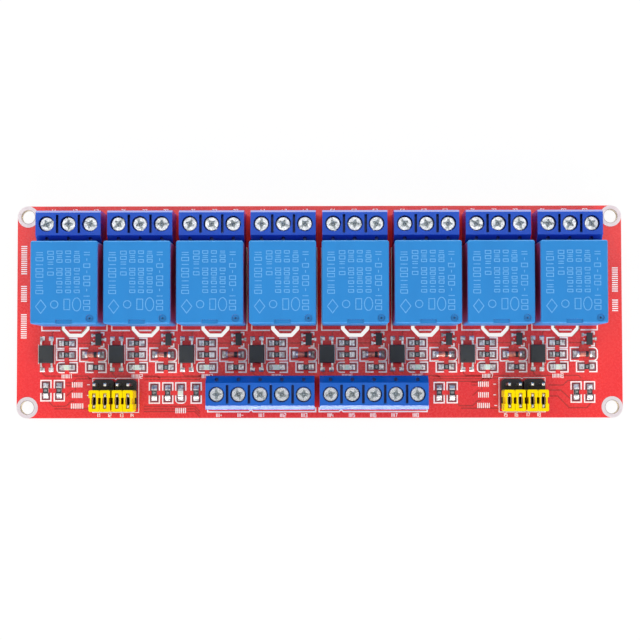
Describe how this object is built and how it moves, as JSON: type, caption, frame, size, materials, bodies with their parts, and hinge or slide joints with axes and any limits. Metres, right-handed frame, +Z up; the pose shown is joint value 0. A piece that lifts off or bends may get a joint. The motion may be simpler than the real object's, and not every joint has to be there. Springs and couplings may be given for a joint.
{
  "type": "relay module board",
  "caption": "Flat circuit board with a row of sealed relays, screw terminal blocks along both long edges, selector jumpers and small control parts.",
  "frame": {"origin": "centre of the four mounting holes, on the underside of the board", "axes": "+X along the board, +Y toward the output terminals, +Z up from the board toward the relays"},
  "size_m": [0.1448, 0.0508, 0.0191],
  "materials": {
    "solder_mask_red": "glossy solder mask",
    "tinned_copper": "bright tinned copper",
    "solder": "bright solder",
    "relay_blue": "satin moulded plastic",
    "terminal_blue": "satin moulded plastic",
    "terminal_bright_blue": "satin moulded plastic",
    "screw_steel": "zinc plated",
    "clamp_steel": "zinc plated",
    "tinned_lead": "tinned",
    "header_black": "matt moulded plastic",
    "pin_metal": "tinned",
    "cap_yellow": "satin moulded plastic",
    "clip_bronze": "bright",
    "moulded_black": "matt moulded plastic",
    "resistor_black": "matt film on ceramic",
    "diode_glass": "clear orange glass",
    "led_lens": "milky lens"
  },
  "bodies": {
    "root": {"board": "solder_mask_red", "mounting_rings": "tinned_copper", "relay_1": "relay_blue", "relay_2": "relay_blue", "relay_3": "relay_blue", "relay_4": "relay_blue", "relay_5": "relay_blue", "relay_6": "relay_blue", "relay_7": "relay_blue", "relay_8": "relay_blue", "relay_pins": "tinned_lead", "output_terminal_1": "terminal_blue", "output_terminal_2": "terminal_blue", "output_terminal_3": "terminal_blue", "output_terminal_4": "terminal_blue", "output_terminal_5": "terminal_blue", "output_terminal_6": "terminal_blue", "output_terminal_7": "terminal_blue", "output_terminal_8": "terminal_blue", "input_terminal_1": "terminal_bright_blue", "input_terminal_2": "terminal_bright_blue", "output_screws": "screw_steel", "input_screws": "screw_steel", "wire_clamps": "clamp_steel", "contact_strips": "tinned_lead", "header_1": "header_black", "header_2": "header_black", "header_3": "header_black", "header_4": "header_black", "header_pins": "pin_metal", "jumper_cap_1": "cap_yellow", "jumper_cap_2": "cap_yellow", "jumper_cap_3": "cap_yellow", "jumper_cap_4": "cap_yellow", "jumper_cap_5": "cap_yellow", "jumper_cap_6": "cap_yellow", "jumper_cap_7": "cap_yellow", "jumper_cap_8": "cap_yellow", "jumper_clips": "clip_bronze", "optocoupler_1": "moulded_black", "optocoupler_2": "moulded_black", "optocoupler_3": "moulded_black", "optocoupler_4": "moulded_black", "optocoupler_5": "moulded_black", "optocoupler_6": "moulded_black", "optocoupler_7": "moulded_black", "optocoupler_8": "moulded_black", "optocoupler_leads": "tinned_lead", "transistors": "moulded_black", "transistor_leads": "tinned_lead", "resistors": "resistor_black", "resistor_ends": "tinned_lead", "diodes": "diode_glass", "diode_caps": "tinned_lead", "leds": "led_lens", "led_ends": "tinned_lead", "pin_solder": "solder", "surface_solder": "solder"}
  },
  "joints": []
}
